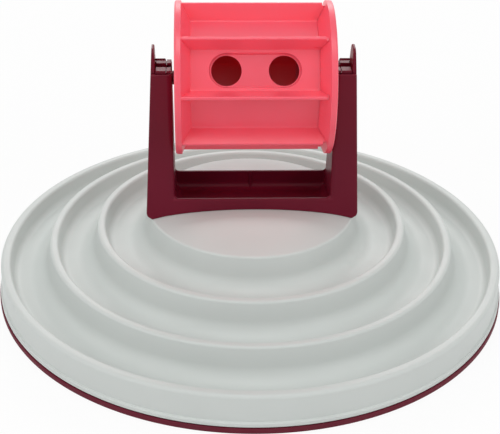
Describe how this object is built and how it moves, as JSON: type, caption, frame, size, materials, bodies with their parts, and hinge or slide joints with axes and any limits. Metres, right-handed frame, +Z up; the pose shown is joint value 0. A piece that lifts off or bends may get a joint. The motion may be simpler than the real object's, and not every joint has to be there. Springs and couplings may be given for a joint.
{
  "type": "slow feeding treat tray with turning treat drum",
  "caption": "Round stepped tray with ring grooves around a domed platform, and on it a stand that carries a paddled, turning, lift-out treat drum with round outlets.",
  "frame": {"origin": "on the floor under the middle of the tray", "axes": "+Z up, front towards -Y; the drum's axle runs along X"},
  "size_m": [0.2802, 0.2802, 0.1624],
  "materials": {
    "tray_plastic": "satin pale grey",
    "base_rubber": "matt burgundy, soft",
    "stand_plastic": "glossy burgundy",
    "drum_plastic": "semi-gloss coral pink",
    "screw_steel": "plated steel"
  },
  "bodies": {
    "tray_and_stand": {"tray": "tray_plastic", "base_ring": "base_rubber", "stand": "stand_plastic", "cradle_left": "stand_plastic", "cradle_right": "stand_plastic", "stand_screw_1": "screw_steel", "stand_screw_2": "screw_steel", "stand_screw_3": "screw_steel", "stand_screw_4": "screw_steel"},
    "axle_pins": {"axle_pin_left": "stand_plastic", "axle_pin_right": "stand_plastic"},
    "drum": {"drum_body": "drum_plastic", "drum_cap": "drum_plastic"}
  },
  "joints": [
    {"name": "drum_lift", "type": "slide", "parent": "tray_and_stand", "child": "axle_pins", "axis": [0, 0, 1], "range_m": [0, 0.06]},
    {"name": "drum_spin", "type": "hinge", "parent": "axle_pins", "child": "drum", "pos_m": [0, 0, 0.12265], "axis": [1, 0, 0], "continuous": true}
  ]
}
